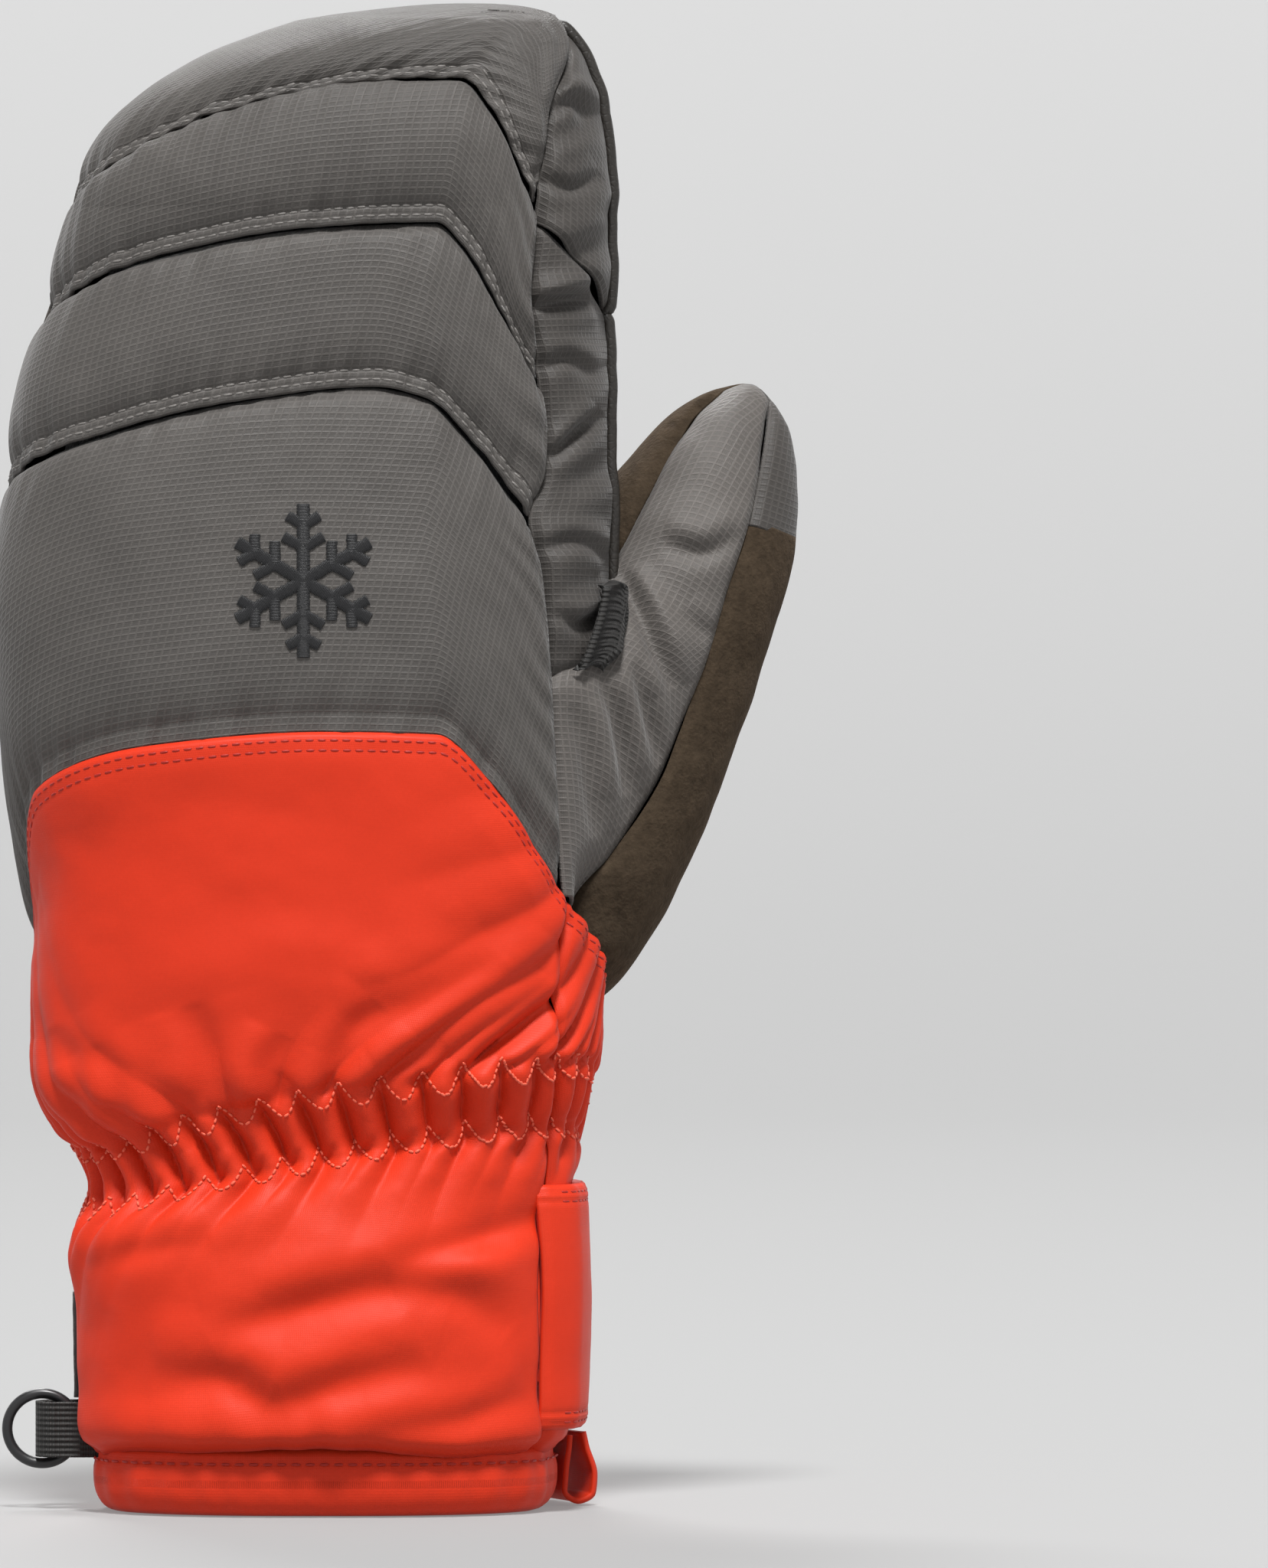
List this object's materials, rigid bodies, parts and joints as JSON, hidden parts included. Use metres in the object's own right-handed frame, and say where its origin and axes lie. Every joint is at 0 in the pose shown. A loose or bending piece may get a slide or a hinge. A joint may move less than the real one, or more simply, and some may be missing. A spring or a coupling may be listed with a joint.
{
  "type": "ski mitten",
  "caption": "Left-hand ski mitten with a red gauntlet cuff, wrist strap, clip ring, quilted back and leather palm.",
  "frame": {"origin": "centre of the hand opening, on the plane the cuff stands on", "axes": "+Z towards the fingertips, +X towards the thumb, +Y towards the palm side, -Y towards the back of the hand"},
  "size_m": [0.1583, 0.0726, 0.2997],
  "materials": {
    "softshell": "matte red woven softshell",
    "ripstop": "matte grey ripstop weave",
    "thumb_ripstop": "matte grey ripstop weave",
    "suede": "brown suede nap",
    "palm_leather": "brown grained leather, satin",
    "patch_leather": "grey-brown smooth leather, satin",
    "thread": "black embroidery thread",
    "webbing": "black ribbed webbing",
    "ring": "black satin",
    "hook_tape": "matte black hook tape",
    "loop_tape": "matte black brushed loop tape",
    "elastic": "matte knitted elastic",
    "insulation": "white fibre padding",
    "membrane": "thin translucent film, satin",
    "lining": "black brushed fleece"
  },
  "bodies": {
    "cuff": {"hem_band": "softshell", "cuff_back_panel": "softshell", "cuff_palm_panel": "softshell", "cuff_foam": "insulation", "cuff_lining": "lining", "wrist_gathers": "softshell", "wrist_elastic": "elastic", "strap_root": "softshell", "loop_patch": "loop_tape", "ring_webbing": "webbing", "pull_loop": "webbing"},
    "hand": {"gauntlet_back": "softshell", "back_of_hand_panel": "ripstop", "lower_finger_panel": "ripstop", "upper_finger_panel": "ripstop", "fingertip_panel": "ripstop", "side_gusset_lower": "ripstop", "side_gusset_upper": "ripstop", "gauntlet_palm": "softshell", "palm_leather": "palm_leather", "palm_border": "ripstop", "fingertip_patch": "patch_leather", "side_piping": "palm_leather", "snowflake": "thread", "hand_insulation": "insulation", "hand_membrane": "membrane", "hand_lining": "lining", "thumb_back_base": "thumb_ripstop", "thumb_palm_base": "thumb_ripstop", "thumb_outer_edge_base": "suede", "thumb_inner_edge_base": "palm_leather", "thumb_insulation_base": "insulation", "thumb_lining_base": "lining"},
    "thumb_tip": {"thumb_back_tip": "thumb_ripstop", "thumb_palm_tip": "thumb_ripstop", "thumb_outer_edge_tip": "suede", "thumb_inner_edge_tip": "palm_leather", "thumb_insulation_tip": "insulation", "thumb_lining_tip": "lining"},
    "strap": {"wrist_strap": "softshell", "hook_patch": "hook_tape"},
    "ring": {"clip_ring": "ring"}
  },
  "joints": [
    {"name": "wrist_bend", "type": "hinge", "parent": "cuff", "child": "hand", "pos_m": [0, 0, 0.072], "axis": [1, 0, 0], "range_deg": [-20, 20], "deforming": ["wrist_gathers", "wrist_elastic"]},
    {"name": "thumb_bend", "type": "hinge", "parent": "hand", "child": "thumb_tip", "pos_m": [0.07159, 0.01362, 0.18989], "axis": [-0.9336, 0, 0.3584], "range_deg": [0, 22]},
    {"name": "strap_peel", "type": "hinge", "parent": "cuff", "child": "strap", "pos_m": [0.05146, 0.00963, 0.041], "axis": [0, 0, -1], "range_deg": [0, 90]},
    {"name": "ring_swing", "type": "hinge", "parent": "cuff", "child": "ring", "pos_m": [-0.0572, 0, 0.0158], "axis": [0, 0, 1], "range_deg": [-20, 20]}
  ]
}
